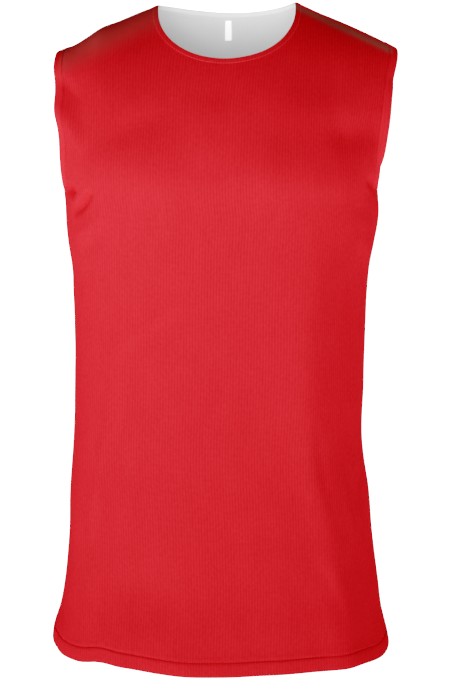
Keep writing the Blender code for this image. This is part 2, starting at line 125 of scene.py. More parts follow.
# A ring: left and right are the distances from the centre plane to the cloth's widest points, front
# and back its depths, and seam is how many degrees forward the seam lies on the -X side.
Section = namedtuple("Section", "z left right front back seam")
SECTIONS = np.array([
    Section(z=-0.745, left=0.2108, right=0.1958, front=0.126, back=0.122, seam=20),
    Section(z=-0.731, left=0.2102, right=0.1943, front=0.126, back=0.121, seam=19),
    Section(z=-0.716, left=0.2084, right=0.1915, front=0.125, back=0.120, seam=18),
    Section(z=-0.686, left=0.2000, right=0.1846, front=0.123, back=0.117, seam=15),
    Section(z=-0.655, left=0.1947, right=0.1804, front=0.120, back=0.113, seam=11),
    Section(z=-0.596, left=0.1886, right=0.1725, front=0.117, back=0.107, seam=4),
    Section(z=-0.537, left=0.1864, right=0.1669, front=0.115, back=0.102, seam=0),
    Section(z=-0.507, left=0.1839, right=0.1619, front=0.114, back=0.100, seam=0),
    Section(z=-0.490, left=0.1825, right=0.1598, front=0.114, back=0.099, seam=0),
    Section(z=-0.420, left=0.1796, right=0.1601, front=0.114, back=0.098, seam=0),
    Section(z=-0.362, left=0.1786, right=0.1611, front=0.116, back=0.100, seam=0),
    Section(z=-0.305, left=0.1797, right=0.1628, front=0.119, back=0.105, seam=0),
    Section(z=-0.276, left=0.1807, right=0.1650, front=0.121, back=0.108, seam=0),
    Section(z=-0.248, left=0.1848, right=0.1701, front=0.123, back=0.111, seam=0),
    Section(z=-0.208, left=0.1872, right=0.1752, front=0.125, back=0.115, seam=0),
    Section(z=-0.187, left=0.1879, right=0.1728, front=0.125, back=0.117, seam=0),
    Section(z=-0.162, left=0.1890, right=0.1727, front=0.124, back=0.118, seam=0),
    Section(z=-0.120, left=0.1898, right=0.1764, front=0.120, back=0.116, seam=0),
    Section(z=-0.080, left=0.1926, right=0.1814, front=0.115, back=0.110, seam=0),
    Section(z=-0.060, left=0.1942, right=0.1868, front=0.112, back=0.106, seam=0),
    Section(z=-0.034, left=0.1954, right=0.1934, front=0.107, back=0.102, seam=0),
    Section(z=+0.000, left=0.1956, right=0.1940, front=0.101, back=0.098, seam=0),
    Section(z=+0.045, left=0.1956, right=0.1940, front=0.097, back=0.095, seam=0),
])

# x and z along the line over the shoulders, from tip to tip, carried on over the open neck.
SHOULDER_LINE = np.array([
    (-0.1956, -0.0308), (-0.1870, -0.0276), (-0.1732, -0.0219), (-0.1594, -0.0133),
    (-0.1456, -0.0042), (-0.1227, +0.0046), (-0.0998, +0.0142), (-0.0780, +0.0224),
    (+0.0000, +0.0400), (+0.0780, +0.0255), (+0.1054, +0.0133), (+0.1283, +0.0040),
    (+0.1513, -0.0060), (+0.1743, -0.0168), (+0.1940, -0.0268),
])


def smooth(at, knots, values):
    """The values read between the knots, on cubic pieces that join without a kink."""
    slopes = np.gradient(values, knots)
    i = np.clip(np.searchsorted(knots, at) - 1, 0, len(knots) - 2)
    span = knots[i + 1] - knots[i]
    t = (at - knots[i]) / span
    first = (1 + 2 * t) * (1 - t) ** 2 * values[i] + t * (1 - t) ** 2 * span * slopes[i]
    second = t * t * (3 - 2 * t) * values[i + 1] - t * t * (1 - t) * span * slopes[i + 1]
    return first + second


def section(z, name):
    """A size of the body at the height z."""
    return smooth(z, SECTIONS[:, 0], SECTIONS[:, Section._fields.index(name)])


def ease(t):
    """0 below 0, 1 above 1, and between them a slope that starts and ends level."""
    t = np.clip(t, 0, 1)
    return t * t * (3 - 2 * t)


def shoulder_height(x):
    return smooth(x, SHOULDER_LINE[:, 0], SHOULDER_LINE[:, 1])


def centre(z):
    return (section(z, "right") - section(z, "left")) / 2


def edge_half(z):
    """From the centre to the cloth's edge: the side of the body, or higher up the armhole."""
    return (section(z, "right") + section(z, "left")) / 2


print("body at the underarm, mm wide:", round(2e3 * float(edge_half(np.array(UNDERARM_Z)))))

# %% [markdown]
# ## Depth and slope
#
# The depth at a place is the ring's depth times two shares: how far the place lies below the arch of
# the shoulder, and how far it lies inside the ring. The same formula, written so that it is zero on the
# cloth, gives the outward direction from its slope.

# %% Depth of the form, and its outward direction
SLOPE_STEP = 1e-5


def calm(z, name):
    """A size of the body averaged over a stretch of its height, without the outline's short bends."""
    steps = np.linspace(-CALM_SPAN, CALM_SPAN, 5)
    return sum(section(np.clip(z + step, SECTIONS[0, 0], SECTIONS[-1, 0]), name) for step in steps) / 5


def edge_depth(z):
    """Depth of the armhole's edge, as a share of the body's depth: none below the underarm."""
    opened = np.clip((z - UNDERARM_Z) / ARMHOLE_ROUND, 0, 1)
    return ARMHOLE_DEPTH * np.sqrt(1 - (1 - opened) ** 2)


def widening(edge):
    """The whole ring's half width over the cloth's, where armholes of this depth cut off its sides."""
    return (1 - edge ** RING_POWER) ** (-1 / RING_POWER)


def arch(x, z):
    """1 minus the ring power of the share of the shoulder's round that is still to come."""
    below = np.minimum((shoulder_height(x) - z) / SHOULDER_ROUND, 1)
    return 1 - (1 - below) ** RING_POWER


def ridge_power(x):
    """1 where the shoulder is round, more where its ridge is sharper."""
    return 1 + RIDGE_SHARP * (1 - ease((np.abs(x) - NECK_HALF) / (RIDGE_BLUNT_X - NECK_HALF)))


def across_ring(x, z):
    """x as a share of the ring's half width: the outline's at the edge, a calmer ring's inside it."""
    share = np.abs(x - centre(z)) / edge_half(z)
    left, right = calm(z, "left"), calm(z, "right")
    wider = 1 + (widening(ARMHOLE_DEPTH) - 1) * ease((z - WIDEN[0]) / (WIDEN[1] - WIDEN[0]))
    inner = np.abs(x - (right - left) / 2) / ((right + left) / 2 * wider)
    return inner + (share / widening(edge_depth(z)) - inner) * np.minimum(share, 1) ** EDGE_POWER


def depth(side, x, z):
    """y at (x, z) on the front (side -1) or the back (side +1): the ring's depth times both shares."""
    reach = np.where(side < 0, section(z, "front"), section(z, "back"))
    share = np.maximum(arch(x, z), 0) ** ridge_power(x) * np.maximum(1 - across_ring(x, z) ** RING_POWER, 0)
    return side * reach * share ** (1 / RING_POWER)


def form(x, y, z):
    """Zero on the cloth, positive outside it."""
    reach = np.where(y < 0, section(z, "front"), section(z, "back"))
    inside = 1 - across_ring(x, z) ** RING_POWER
    power = ridge_power(x)
    inside = np.sign(inside) * np.abs(inside) ** (1 / power)
    return (np.abs(y) / reach) ** (RING_POWER / power) - arch(x, z) * inside


def unit(vectors):
    return vectors / np.maximum(np.linalg.norm(vectors, axis=-1, keepdims=True), 1e-12)


def outward(points):
    """Unit directions out of the form, from its slope in x, y and z."""
    slope = np.empty_like(points)
    for axis in range(3):
        ahead, behind = points.copy(), points.copy()
        ahead[..., axis] += SLOPE_STEP
        behind[..., axis] -= SLOPE_STEP
        slope[..., axis] = form(*np.moveaxis(ahead, -1, 0)) - form(*np.moveaxis(behind, -1, 0))
    return unit(slope)


# %% [markdown]
# ## Two maps from the flat pattern to the body
#
# A panel is a grid. Its columns s run from one edge (-1) to the other (+1). Its rows go from the hem to
# the underarm by their height, and from there to the neck and shoulders by a share w of the way. Both
# maps take whole arrays of s and of the row, so that a grid may be fine wherever its edge is sewn.

# %% Map a grid onto the body
NECK_COLUMN = 0.5         # the column that ends at a high point
NECK_CROWDING = 1.6       # draws the neck's columns towards the high points, where its edge bends most
PLACING_PASSES = 4


def ring_share(side, s, z):
    """Sine and cosine on the ring: the columns share out the angle from the middle to the edge.

    Above the underarm the armhole takes an angle away, which crowds the columns next to it.
    """
    edge = edge_depth(z)
    cut_off = np.pi / 2 - np.arctan2((1 - edge ** RING_POWER) ** (1 / RING_POWER), edge)
    swing = np.radians(section(z, "seam")) * side * (s < 0)
    angle = s * (np.pi / 2 + np.where(edge > 0, 0, swing)) - s * np.abs(s) * cut_off
    scale = (np.abs(np.sin(angle)) ** RING_POWER + np.abs(np.cos(angle)) ** RING_POWER)
    return np.sin(angle) * scale ** (-1 / RING_POWER), np.cos(angle) * scale ** (-1 / RING_POWER)


def body_points(side, s, level):
    """Points from hem to underarm: the ring at the row's height, which droops towards the hem."""
    low = np.clip((HEM_DIP_TOP - level) / (HEM_DIP_TOP - HEM_Z), 0, 1)
    z = level - low ** 2 * (HEM_DIP * np.cos(s * np.pi / 2) ** 2 + HEM_SWAY * np.sin(s * np.pi))
    across, deep = ring_share(side, s, z)
    x = centre(z) + edge_half(z) * across
    y = depth(np.where(deep < 0, -side, side), x, z)
    return np.stack([x, y, z + low ** 3 * smooth(x, HEM_BENDS[:, 0], HEM_BENDS[:, 1])], axis=-1)


def top_edge(side, s):
    """x and z of a panel's top edge: shoulder seams outside the high points, the neck between them."""
    from_point = 1 - np.minimum(np.abs(s) / NECK_COLUMN, 1)
    turn = np.sign(s) * (1 - from_point ** NECK_CROWDING) * np.pi / 2
    out = np.clip((np.abs(s) - NECK_COLUMN) / (1 - NECK_COLUMN), 0, 1)
    tip = edge_half(0.0) - TIP_CORNER
    x = NECK_HALF * np.sin(turn) + np.sign(s) * out * (tip - NECK_HALF)
    high = np.interp(x, [-NECK_HALF, NECK_HALF], shoulder_height(np.array([-NECK_HALF, NECK_HALF])))
    lowest, power, sway = FRONT_NECK if side < 0 else BACK_NECK
    drop = lowest * np.maximum(np.cos(turn), 0) ** power * (1 + sway * np.sin(turn))
    return x, np.where(np.abs(s) < NECK_COLUMN, high - drop, shoulder_height(x + centre(0.0)))


def yoke_points(side, s, w):
    """Points from the underarm (w = 0) to shoulder and neck (w = 1), by the angle of the arch."""
    top_x, top_z = top_edge(side, s)
    crest = shoulder_height(top_x + centre(0.0))
    top_turn = np.arccos(np.clip(1 - (crest - top_z) / (crest - UNDERARM_Z), -1, 1))
    turn = np.pi / 2 + (top_turn - np.pi / 2) * w
    near_edge, near_top = CORNER_POWERS
    corner = TIP_CORNER / edge_half(0.0) * s * np.abs(s) ** (near_edge - 1) * (1 - w ** near_top)
    high = top_x / edge_half(0.0) + corner
    for _ in range(PLACING_PASSES):  # height and place across depend on each other, and settle quickly
        z = crest - (crest - UNDERARM_Z) * (1 - np.cos(turn))
        across, _ = ring_share(side, s, np.maximum(z, UNDERARM_Z + 1e-9))
        low = across * widening(edge_depth(z))
        x = centre(z) + edge_half(z) * (low + (high - low) * w ** 2)
        crest = shoulder_height(x)
    y = depth(side, x, z)
    seam = (np.abs(s) >= NECK_COLUMN) & (w >= 1)
    return np.stack([x, np.where(seam, 0, y), np.where(seam, crest, z)], axis=-1)


# %% [markdown]
# ## Grids that are fine where the cloth is sewn
#
# A row of stitches pulls a groove two millimetres wide, and a turned edge is one millimetre thick. The
# plain cloth between them bends slowly, so the grid spends its rows and columns at the edges: strips of
# fixed distances run along the hem, the armholes and the neck.

# %% Lay out rows and columns
MM = 0.001
HEM_STRIP = np.array([0, 0.15, 0.5, 1, 2, 4, 7, 10, 13, 15.3, 16.4, 17, 17.5, 18, 18.6, 19.7, 22]) * MM
ARM_STRIP = np.array([18, 15, 13, 12.1, 11.5, 11, 10.5, 9.9, 8.5, 6, 3.5, 1.6, 0.6, 0.15, 0]) * MM
NECK_STRIP = np.array([13, 10, 8, 7, 6.4, 5.9, 5.4, 4.8, 3.6, 2.2, 1.2, 0.5, 0.15, 0]) * MM
PROBE = 0.02              # share of a row or column on which its length is measured at the edge


def cloth_columns(points_at, side, rows, neck_columns, side_columns):
    """s for every row: even steps from the middle, and fixed distances from each edge."""
    halves = []
    for end in (-1.0, 1.0):
        step = points_at(side, end + 0 * rows, rows) - points_at(side, end * (1 - PROBE) + 0 * rows, rows)
        strip = 1 - ARM_STRIP * PROBE / np.linalg.norm(step, axis=-1)
        plain = NECK_COLUMN + (strip[:, :1] - NECK_COLUMN) * np.linspace(0, 1, side_columns + 1)[1:-1]
        neck = np.broadcast_to(np.linspace(0, NECK_COLUMN, neck_columns + 1), (len(rows), neck_columns + 1))
        halves.append(end * np.concatenate([neck, plain, strip], axis=1))
    return np.concatenate([halves[0][:, :0:-1], halves[1]], axis=1)


def panel_layout(side, body_rows, yoke_rows, neck_columns, side_columns, neck_short=0.0):
    """Points and s of a panel, and the number of its rows below the underarm's.

    neck_short is the distance by which the layer stops short of the neck's edge.
    """
    plain = np.linspace(HEM_Z + HEM_STRIP[-1], UNDERARM_Z, body_rows + 1)[1:]
    level = np.concatenate([HEM_Z + HEM_STRIP, plain])[:, None]
    s_body = cloth_columns(body_points, side, level, neck_columns, side_columns)
    body = body_points(side, s_body, level)
    t = np.linspace(0, 1, yoke_rows + 1)[1:, None] ** 1.25   # rows crowd where the armhole opens
    s_rows = cloth_columns(yoke_points, side, np.concatenate([t * 0.93, 1 - NECK_STRIP[:, None] / 0.2]),
                           neck_columns, side_columns)
    top = s_rows[-1:]
    end = yoke_points(side, top, np.ones_like(top)) - yoke_points(side, top, np.full_like(top, 1 - PROBE))
    short = neck_short * ease((NECK_COLUMN - np.abs(top)) / 0.03)
    kept = NECK_STRIP[:, None] * (1 - short / NECK_STRIP[0]) + short
    strip = 1 - kept * PROBE / np.linalg.norm(end, axis=-1)
    last = strip[:1] - (1 - strip[:1]) * 0.25                # one more step of the same kind below it
    yoke = yoke_points(side, s_rows, np.concatenate([t * last, strip]))
    return np.concatenate([body, yoke]), np.concatenate([s_body, s_rows]), len(body)


# %% [markdown]
# ## Folds
#
# Knit cloth on a body doesn't hang smooth. Long soft folds fall from the chest to the hem, short ones
# pull towards the underarms, and shallow dents show where the cloth is loose. A cloth simulation would
# crumple the whole panel. A table of folds puts each one where the garment has it, with its own course,
# breadth and height. A fold is a smooth path in the plane of the cloth, and its rise fades with the
# distance from that path, as a bell curve.

# %% The folds of both panels
# The path's places are (x, z): x is measured along the cloth from the middle of its panel. width is
# half a fold's breadth, rise its height, and a trough's rise is negative. All sizes are in millimetres.
Fold = namedtuple("Fold", "path width rise")
HEM = HEM_Z / MM
FOLDS = {
    "front": (
        # the drape on the +X side, from the breast to the hem
        Fold(((118, -150), (108, -240), (104, -300), (98, -350), (100, -400), (106, -460), (118, -510),
              (130, -560), (135, -620), (152, HEM)), 24, 6.5),
        Fold(((104, -190), (96, -300), (92, -400), (100, -480)), 40, 6.0),
        Fold(((172, -180), (170, -260), (168, -360), (166, -430)), 22, -3.0),
        Fold(((112, -440), (124, -510), (144, -590)), 8, -2.2),
        Fold(((149, -495), (157, -545), (172, -600)), 6.5, 1.5),
        Fold(((124, -590), (140, -635), (166, -700)), 7, 0.6),
        Fold(((104, -590), (126, -640), (150, -695)), 8, -1.0),
        Fold(((185, -505), (184, -560)), 12, -2.0),
        # the drape on the -X side
        Fold(((-126, -350), (-131, -430), (-143, -500), (-166, -600)), 7, 1.9),
        Fold(((-110, -380), (-118, -450), (-128, -560), (-140, -690)), 15, -2.4),
        Fold(((-96, -420), (-100, -520), (-108, -610), (-118, HEM)), 13, 1.7),
        Fold(((-57, -400), (-84, -520), (-100, -600), (-110, -680)), 17, -2.0),
        Fold(((-165, -400), (-176, -500), (-196, -640)), 14, 1.5),
        Fold(((-160, -600), (-165, -700)), 14, 2.5),
        # soft waves of the hem
        Fold(((-20, -560), (-30, -640), (-35, HEM)), 28, 2.2),
        Fold(((38, -600), (44, -660), (46, HEM)), 24, -2.0),
        Fold(((-150, -728), (-60, -722)), 40, 5.5),
        Fold(((-140, -640), (-40, -640)), 30, -3.0),
        # the crease across the belly
        Fold(((-30, -292), (-63, -316), (-101, -344), (-127, -366)), 9, 1.5),
        Fold(((-44, -306), (-76, -336), (-104, -366)), 12, -0.9),
        # breast and shoulder hollows
        Fold(((-130, -160), (-90, -158)), 36, 5.5),
        Fold(((70, -162), (130, -168)), 38, 6.5),
        Fold(((-50, -150), (30, -150)), 40, 4.5),
        Fold(((148, -116), (186, -116)), 18, -4.0),
        Fold(((-66, -88), (-112, -112), (-140, -128)), 15, -1.6),
        Fold(((-10, -74), (-14, -150)), 24, 2.2),
        Fold(((90, -55), (140, -60)), 22, -1.8),
        Fold(((-240, -48), (-195, -48)), 20, 3.5),
        # pulls from the armholes
        Fold(((-238, -56), (-206, -66), (-176, -84)), 6, -2.0),
        Fold(((-248, -76), (-215, -90), (-180, -116), (-160, -137)), 12, 5.5),
        Fold(((-199, -181), (-186, -183)), 5.5, -6.5),
        Fold(((-192, -207), (-176, -201), (-157, -187), (-148, -178)), 4.8, -7.5),
        Fold(((-190, -234), (-160, -222), (-140, -200)), 7.5, 2.0),
        Fold(((-186, -252), (-150, -240), (-128, -212)), 8, -1.2),
        Fold(((226, -60), (212, -104), (206, -130), (206, -155)), 10, 8.0),
        Fold(((174, -167), (192, -175), (224, -186)), 6, -4.5),
        Fold(((150, -200), (176, -204), (206, -216)), 8, -1.6),
        Fold(((160, -236), (190, -246), (214, -262)), 9, 1.5),
        # faint creases from packing
        Fold(((-132, -676), (-100, -679), (-70, -678)), 2.6, -0.35),
        Fold(((-60, -656), (-30, -660), (0, -663)), 2.2, 0.30),
        Fold(((-72, -684), (-10, -692), (72, -700)), 2.4, 0.32),
    ),
    "back": (
        Fold(((-92, -300), (-96, -420), (-90, -560), (-108, HEM)), 21, 6.6),
        Fold(((-140, -340), (-138, -460), (-152, -600), (-156, -700)), 17, -4.5),
        Fold(((-166, -420), (-172, -540), (-184, -640)), 8, 2.7),
        Fold(((104, -360), (108, -480), (120, -600), (128, HEM)), 20, 5.7),
        Fold(((146, -380), (150, -520), (166, -690)), 16, -4.5),
        Fold(((70, -440), (78, -560), (84, -690)), 14, -2.8),
        Fold(((126, -500), (140, -580), (160, -650)), 7, 2.4),
        Fold(((8, -470), (14, -600), (22, HEM)), 28, -3.6),
        Fold(((-44, -520), (-50, -640), (-52, HEM)), 24, 3.0),
        Fold(((30, -300), (66, -322), (104, -352)), 9, 1.4),
        Fold(((-20, -268), (10, -276), (44, -270)), 14, -1.4),
        # shoulder blades and the hollow between them
        Fold(((-96, -150), (-84, -190)), 34, 5.1),
        Fold(((84, -150), (94, -190)), 34, 5.4),
        Fold(((0, -90), (2, -240)), 22, -3.3),
        Fold(((-150, -60), (-110, -56), (-66, -40)), 7, 0.8),
        Fold(((-86, 10), (-56, 5), (-26, 0)), 4.5, 1.5),
        Fold(((-62, -9), (-40, -11), (-22, -12)), 4.5, 0.7),
        Fold(((66, -42), (110, -56), (156, -64)), 7, 0.8),
        # pulls from the armholes
        Fold(((-232, -70), (-196, -92), (-150, -128)), 12, -5.4),
        Fold(((-236, -100), (-200, -124), (-164, -160)), 13, 4.5),
        Fold(((236, -54), (200, -76), (150, -118)), 12, -6.3),
        Fold(((240, -88), (204, -108), (168, -146)), 13, 5.1),
        Fold(((-200, -196), (-174, -204), (-144, -226)), 5, -4.8),
        Fold(((-196, -222), (-160, -236), (-136, -256)), 8, 2.7),
        Fold(((206, -190), (176, -202), (150, -222)), 5, -5.1),
        Fold(((202, -216), (170, -230), (140, -256)), 8, 2.8),
        Fold(((-60, -668), (0, -674), (64, -670)), 2.4, 0.30),
        Fold(((40, -640), (84, -646)), 2.4, -0.30),
    ),
}
BELL_REACH = 3.2          # widths from a path beyond which its bell curve is nothing
SHORTEST = 2.5            # a path of fewer widths is a dent that doesn't fade along itself
FADE_POWER = 0.8
SEAM_CALM = 14 * MM       # folds die out over this distance from a seam
WAVES = 14                # soft waves all over the cloth, so that it is nowhere quite smooth
WAVE_RISE = 0.09 * MM
WAVE_LENGTHS = (0.025, 0.090)


def row_lengths(points):
    """Distance along each row of the grid from its middle column, negative towards -X."""
    steps = np.linalg.norm(np.diff(points, axis=1), axis=-1)
    along = np.concatenate([np.zeros((len(points), 1)), np.cumsum(steps, axis=1)], axis=1)
    return along - along[:, along.shape[1] // 2][:, None]


def smooth_path(places, count=25):
    """A smooth curve through the places, evenly spread over their distances."""
    reach = np.concatenate([[0], np.cumsum(np.linalg.norm(np.diff(places, axis=0), axis=-1))])
    at = np.linspace(0, reach[-1], count)
    if len(places) == 2:
        return places[0] + (places[1] - places[0]) * (at / reach[-1])[:, None]
    return np.stack([smooth(at, reach, places[:, i]) for i in range(2)], axis=-1)


def one_fold(fold, flat):
    """A bell curve across the fold's path, and half a wave of a sine along it.

    A fold that reaches the hem doesn't fade there.
    """
    places = np.array(fold.path, dtype=float) * MM
    path = smooth_path(places)
    start, run = path[:-1], np.diff(path, axis=0)
    reach = BELL_REACH * fold.width * MM
    close = np.all((flat > path.min(0) - reach) & (flat < path.max(0) + reach), axis=1)
    to = flat[close][:, None] - start
    t = np.clip(np.sum(to * run, axis=-1) / np.sum(run * run, axis=-1), 0, 1)
    away = np.linalg.norm(to - t[..., None] * run, axis=-1)
    piece = away.argmin(axis=1)
    row = np.arange(len(piece))
    share = (piece + t[row, piece]) / len(run)
    turns = 0.5 if fold.path[-1][1] == HEM else 1.0
    if np.linalg.norm(places[-1] - places[0]) < SHORTEST * fold.width * MM:
        fade = 1.0                                  # a dent or a bump, as long as it is broad
    else:
        fade = np.sin(np.pi * turns * share) ** FADE_POWER
    result = np.zeros(len(flat))
    result[close] = fold.rise * MM * fade * np.exp(-(away[row, piece] / (fold.width * MM)) ** 2)
    return result


def soft_waves(panel, flat):
    """Sum of sine waves of these lengths in all directions, from a seeded draw."""
    draw = np.random.default_rng(7 if panel == "front" else 8)
    length = draw.uniform(*WAVE_LENGTHS, WAVES)
    turn = draw.uniform(0, np.pi, WAVES)
    start = draw.uniform(0, 2 * np.pi, WAVES)
    phase = (flat[:, :1] * np.cos(turn) + flat[:, 1:] * np.sin(turn)) * 2 * np.pi / length + start
    return WAVE_RISE * np.sum(np.sin(phase) * np.sqrt(length / WAVE_LENGTHS[1]), axis=1) * 0.5


def fold_rise(panel, along, z, to_seam):
    """How far each point of a panel moves out: its folds and waves, calm at the seams."""
    flat = np.stack([along.ravel(), z.ravel()], axis=-1)
    rise = sum(one_fold(fold, flat) for fold in FOLDS[panel]) + soft_waves(panel, flat)
    return rise.reshape(z.shape) * ease(to_seam / SEAM_CALM)


print("folds:", {panel: len(folds) for panel, folds in FOLDS.items()})

# %% [markdown]
# ## Sewn edges
#
# At the neck and the armholes the two layers are turned in and stitched flat, so there the cloth is
# thicker and ends in a round edge. The hem is folded up and stitched. Each of these is a rise of the
# outer face that depends only on the distance to the edge, and that distance is kept with the mesh, so
# that the finish can use it too.

# %% Distances to the edges, and the relief that follows from them
CLOTH = 1.0 * MM
LAYER_GAP = 0.3 * MM
INNER_GAP = 1.2 * MM      # between the layers, away from the open edges
SEAM_GAP = {"red": -0.2 * MM, "white": 0.3 * MM}      # below zero the panels lap over each other
SEAM_DIP = 0.8 * MM       # a seam pulls both of its panels in
HEM_FOLD = 17.5 * MM      # height of the folded hem
NECK_TURN = 5.9 * MM      # breadth of the turned edge at the neck
ARM_TURN = 11.0 * MM
FAR = 0.05                # distances beyond this don't matter
EDGE_RAISE = 0.5 * MM
STITCH_HALF = 0.8 * MM
NECK_SHORT = 1.3 * MM     # one layer stops this much short of the neck's edge, and the other one covers it
ROLL = 3.0 * MM           # over this distance the covering layer rolls outwards
ROLL_COLUMNS = 0.04       # and it begins over this share of the columns beside the high points
RIM_LEAST, SEAM_LEAST = 0.12, 0.6       # least shares of the wall's thickness at a rim and at a seam


def distance_to(path, points):
    """Distance from each point to the nearest place on a path of straight pieces, up to FAR."""
    flat = points.reshape(-1, 3)
    result = np.full(len(flat), FAR)
    near = np.all((flat > path.min(0) - FAR) & (flat < path.max(0) + FAR), axis=1)
    start, run = path[:-1], np.diff(path, axis=0)
    to = flat[near][:, None] - start
    t = np.clip(np.sum(to * run, axis=-1) / np.maximum(np.sum(run * run, axis=-1), 1e-18), 0, 1)
    away = np.linalg.norm(to - t[..., None] * run, axis=-1).min(axis=1)
    result[near] = np.minimum(away, FAR)
    return result.reshape(points.shape[:-1])


def groove(distance, place, half=STITCH_HALF):
    """1 in the middle of a stitched groove, fading to 0 on both sides as a bell curve."""
    return np.exp(-((distance - place) / half) ** 2)


def band(distance, breadth):
    """1 on a turned edge, 0 beyond it."""
    return 1 - ease((distance - breadth + 0.6 * MM) / (1.2 * MM))


Edges = namedtuple("Edges", "neck arm hem side shoulder")


def edge_distances(points, s, body):
    """Distance of every point to the neck, the armholes, the hem, the side seams and the shoulder seams."""
    shoulder = np.abs(s[-1]) >= NECK_COLUMN - 1e-9
    neck = distance_to(points[-1, np.abs(s[-1]) <= NECK_COLUMN + 1e-9], points)
    arm = np.minimum(distance_to(points[body - 1:, 0], points), distance_to(points[body - 1:, -1], points))
    side = np.minimum(distance_to(points[:body, 0], points), distance_to(points[:body, -1], points))
    over = np.minimum(distance_to(points[-1, shoulder & (s[-1] < 0)], points),
                      distance_to(points[-1, shoulder & (s[-1] > 0)], points))
    hem = np.linalg.norm(np.diff(points, axis=0), axis=-1)
    hem = np.concatenate([np.zeros((1, points.shape[1])), np.cumsum(hem, axis=0)])
    return Edges(neck, arm, hem, side, over)


def sewn_rise(edges):
    """Rise of the outer face: thicker turned edges, and grooves at the stitches."""
    rise = EDGE_RAISE * np.maximum.reduce([
        band(edges.neck, NECK_TURN), band(edges.arm, ARM_TURN), 0.9 * band(edges.hem, HEM_FOLD)])
    rise -= 0.12 * MM * groove(edges.neck, NECK_TURN)
    rise -= 0.20 * MM * groove(edges.arm, ARM_TURN)
    rise -= 0.75 * MM * groove(edges.hem, HEM_FOLD, 1.5 * STITCH_HALF)
    return rise + 0.30 * MM * groove(edges.hem, HEM_FOLD + 3.2 * MM, 2 * STITCH_HALF)


def lining_rise(edges):
    """Rise of the lining's inner face: a turned edge at the neck, and its groove."""
    return 0.35 * MM * band(edges.neck, NECK_TURN) - 0.10 * MM * groove(edges.neck, NECK_TURN)


# %% [markdown]
# ## From grid to cloth
#
# Each layer is a closed wall one millimetre thick, so it has an outer face, an inner face and a rim.
# Near a free edge the two faces close in on a half circle, which makes the rim round. The wall keeps
# the cloth's own coordinates as its UV map, in metres: v runs up the knit's columns of loops, called
# wales, and u across them. Both are sums of the steps from point to point, each step measured along
# the wale's direction or across it. At a seam both panels dip, and the red ones lap over each other a
# little, so that no white shows between them.

# %% Build a closed wall on a grid
def part_at_seams(points, normals, s, body, gap):
    """Moves seam points half the gap towards the panel, square to the seam and to the normal."""
    def part(rows, columns, inner_rows, inner_columns):
        seam = points[rows, columns]
        along = np.gradient(seam, axis=0)
        away = unit(np.cross(normals[rows, columns], along))
        away *= np.sign(np.sum(away * (points[inner_rows, inner_columns] - seam), axis=-1, keepdims=True))
        points[rows, columns] = seam + away * gap / 2
    part(slice(0, body), 0, slice(0, body), 1)
    part(slice(0, body), -1, slice(0, body), -2)
    for half in (s[-1] < 0, s[-1] > 0):
        seam = np.flatnonzero((np.abs(s[-1]) >= NECK_COLUMN) & half)
        part(-1, seam, -2, seam)


def cloth_map(points, normals):
    """u and v in metres: steps between neighbours, measured across and along the wales."""
    level = unit(np.cross(np.array([0.0, 0.0, 1.0]), normals))      # round the body
    wale_low = np.cross(normals, level)
    wale_high = unit(np.cross(normals, np.array([1.0, 0.0, 0.0])))
    wale_high *= np.sign(np.sum(wale_high * wale_low, axis=-1, keepdims=True))
    high = ease((points[..., 2:] - UNDERARM_Z) / 0.12)
    wale = unit(wale_low * (1 - high) + wale_high * high)
    course = np.cross(wale, normals)
    rows, cols = points.shape[:2]
    middle = cols // 2
    step = np.diff(points, axis=0)
    v = np.sum(step * (wale[1:] + wale[:-1]) / 2, axis=-1)
    v = np.concatenate([np.zeros((1, cols)), np.cumsum(v, axis=0)])
    step = np.diff(points, axis=1)
    u = np.sum(step * (course[:, 1:] + course[:, :-1]) / 2, axis=-1)
    u = np.concatenate([np.zeros((rows, 1)), np.cumsum(u, axis=1)], axis=1)
    return np.stack([u - u[:, middle:middle + 1], v], axis=-1)


def border_of(rows, cols):
    """Numbers of the grid's border points, once round, as a loop."""
    number = np.arange(rows * cols).reshape(rows, cols)
    return np.concatenate([number[0], number[1:, -1], number[-1, -2::-1], number[-2:0:-1, 0]])


def wall_mesh(name, outer, inner, uv, attributes, flip):
    """A closed wall between two grids, with its UV map and its distances to the edges."""
    rows, cols = outer.shape[:2]
    number = np.arange(rows * cols).reshape(rows, cols)
    quads = np.stack([number[:-1, :-1], number[:-1, 1:], number[1:, 1:], number[1:, :-1]], axis=-1)
    quads = quads.reshape(-1, 4)
    if flip:
        quads = quads[:, ::-1]
    rim = border_of(rows, cols)
    following = np.roll(rim, -1)
    total = rows * cols
    ring = np.stack([following, rim, rim + total, following + total], axis=-1)
    if flip:
        ring = ring[:, ::-1]
    faces = np.concatenate([quads, quads[:, ::-1] + total, ring])
    verts = np.concatenate([outer.reshape(-1, 3), inner.reshape(-1, 3)])
    mesh = bpy.data.meshes.new(name)
    mesh.from_pydata(verts.tolist(), [], faces.tolist())
    mesh.shade_smooth()
    corner = np.empty(len(mesh.loops), dtype=np.int32)
    mesh.loops.foreach_get("vertex_index", corner)
    layer = mesh.uv_layers.new(name="cloth")
    layer.uv.foreach_set("vector", uv.reshape(-1, 2)[corner % total].ravel().astype(np.float32))
    for key, values in attributes.items():
        made = mesh.attributes.new(key, "FLOAT", "POINT")
        made.data.foreach_set("value", np.tile(values.ravel(), 2).astype(np.float32))
    mesh.validate()
    thing = bpy.data.objects.new(name, mesh)
    bpy.context.scene.collection.objects.link(thing)
    print(name, "points:", len(verts), "triangles:", 2 * len(faces))
    return thing


